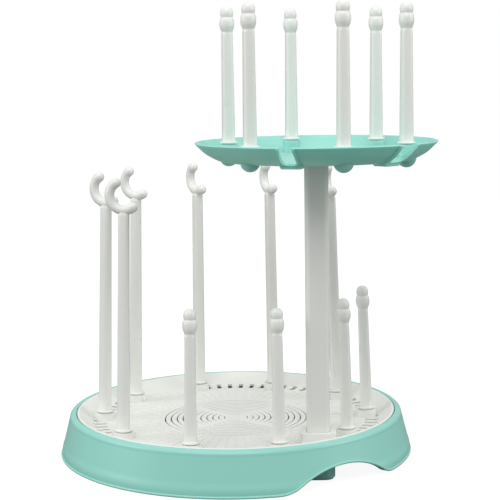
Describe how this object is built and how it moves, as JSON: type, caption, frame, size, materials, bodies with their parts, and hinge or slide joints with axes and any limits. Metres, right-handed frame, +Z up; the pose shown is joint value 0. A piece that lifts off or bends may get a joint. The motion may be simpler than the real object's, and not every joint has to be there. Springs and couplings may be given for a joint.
{
  "type": "bottle drying rack",
  "caption": "Two-tier bottle drying rack: round base with lift-out drainer, hook and ball-tipped pegs, and a raised notched bowl on a square column.",
  "frame": {"origin": "middle of the foot under the column, on the surface the rack stands on", "axes": "+Z up, -Y towards the front, +X to the right seen from the front"},
  "size_m": [0.3114, 0.3364, 0.3734],
  "materials": {
    "mint_shell": "satin",
    "white_drainer": "satin",
    "white_column": "satin",
    "white_peg": "satin"
  },
  "bodies": {
    "base": {"base_shell": "mint_shell"},
    "drainer": {"drainer": "white_drainer"},
    "column": {"column": "white_column"},
    "bowl": {"bowl": "mint_shell"},
    "hook_peg_1": {"hook_peg_1": "white_peg"},
    "hook_peg_2": {"hook_peg_2": "white_peg"},
    "hook_peg_3": {"hook_peg_3": "white_peg"},
    "hook_peg_4": {"hook_peg_4": "white_peg"},
    "hook_peg_5": {"hook_peg_5": "white_peg"},
    "hook_peg_6": {"hook_peg_6": "white_peg"},
    "short_peg_1": {"short_peg_1": "white_peg"},
    "short_peg_2": {"short_peg_2": "white_peg"},
    "short_peg_3": {"short_peg_3": "white_peg"},
    "short_peg_4": {"short_peg_4": "white_peg"},
    "bowl_peg_1": {"bowl_peg_1": "white_peg"},
    "bowl_peg_2": {"bowl_peg_2": "white_peg"},
    "bowl_peg_3": {"bowl_peg_3": "white_peg"},
    "bowl_peg_4": {"bowl_peg_4": "white_peg"},
    "bowl_peg_5": {"bowl_peg_5": "white_peg"},
    "bowl_peg_6": {"bowl_peg_6": "white_peg"}
  },
  "joints": [
    {"name": "drainer_lift", "type": "slide", "parent": "base", "child": "drainer", "axis": [0, 0, 1], "range_m": [0, 0.03]},
    {"name": "column_lift", "type": "slide", "parent": "base", "child": "column", "axis": [0, 0, 1], "range_m": [0, 0.045]},
    {"name": "bowl_lift", "type": "slide", "parent": "column", "child": "bowl", "axis": [0, 0, 1], "range_m": [0, 0.02]},
    {"name": "hook_turn_1", "type": "hinge", "parent": "drainer", "child": "hook_peg_1", "pos_m": [0.025, 0.15784, 0.0321], "axis": [-0.0254, -0.0185, 0.9995], "continuous": true},
    {"name": "hook_turn_2", "type": "hinge", "parent": "drainer", "child": "hook_peg_2", "pos_m": [-0.0315, 0.19889, 0.0321], "axis": [-0.0097, -0.0299, 0.9995], "continuous": true},
    {"name": "hook_turn_3", "type": "hinge", "parent": "drainer", "child": "hook_peg_3", "pos_m": [-0.10134, 0.19889, 0.0321], "axis": [0.0097, -0.0299, 0.9995], "continuous": true},
    {"name": "hook_turn_4", "type": "hinge", "parent": "drainer", "child": "hook_peg_4", "pos_m": [-0.15784, 0.15784, 0.0321], "axis": [0.0254, -0.0185, 0.9995], "continuous": true},
    {"name": "hook_turn_5", "type": "hinge", "parent": "drainer", "child": "hook_peg_5", "pos_m": [-0.17942, 0.09142, 0.0321], "axis": [0.0314, 0, 0.9995], "continuous": true},
    {"name": "hook_turn_6", "type": "hinge", "parent": "drainer", "child": "hook_peg_6", "pos_m": [-0.15784, 0.025, 0.0321], "axis": [0.0254, 0.0185, 0.9995], "continuous": true},
    {"name": "short_peg_pull_1", "type": "slide", "parent": "drainer", "child": "short_peg_1", "axis": [0.0097, 0.0299, 0.9995], "range_m": [0, 0.02]},
    {"name": "short_peg_pull_2", "type": "slide", "parent": "drainer", "child": "short_peg_2", "axis": [-0.0097, 0.0299, 0.9995], "range_m": [0, 0.02]},
    {"name": "short_peg_pull_3", "type": "slide", "parent": "drainer", "child": "short_peg_3", "axis": [-0.0254, 0.0185, 0.9995], "range_m": [0, 0.02]},
    {"name": "short_peg_pull_4", "type": "slide", "parent": "drainer", "child": "short_peg_4", "axis": [-0.0314, 0, 0.9995], "range_m": [0, 0.02]},
    {"name": "bowl_peg_pull_1", "type": "slide", "parent": "bowl", "child": "bowl_peg_1", "axis": [0, 0, 1], "range_m": [0, 0.02]},
    {"name": "bowl_peg_pull_2", "type": "slide", "parent": "bowl", "child": "bowl_peg_2", "axis": [0, 0, 1], "range_m": [0, 0.02]},
    {"name": "bowl_peg_pull_3", "type": "slide", "parent": "bowl", "child": "bowl_peg_3", "axis": [0, 0, 1], "range_m": [0, 0.02]},
    {"name": "bowl_peg_pull_4", "type": "slide", "parent": "bowl", "child": "bowl_peg_4", "axis": [0, 0, 1], "range_m": [0, 0.02]},
    {"name": "bowl_peg_pull_5", "type": "slide", "parent": "bowl", "child": "bowl_peg_5", "axis": [0, 0, 1], "range_m": [0, 0.02]},
    {"name": "bowl_peg_pull_6", "type": "slide", "parent": "bowl", "child": "bowl_peg_6", "axis": [0, 0, 1], "range_m": [0, 0.02]}
  ]
}
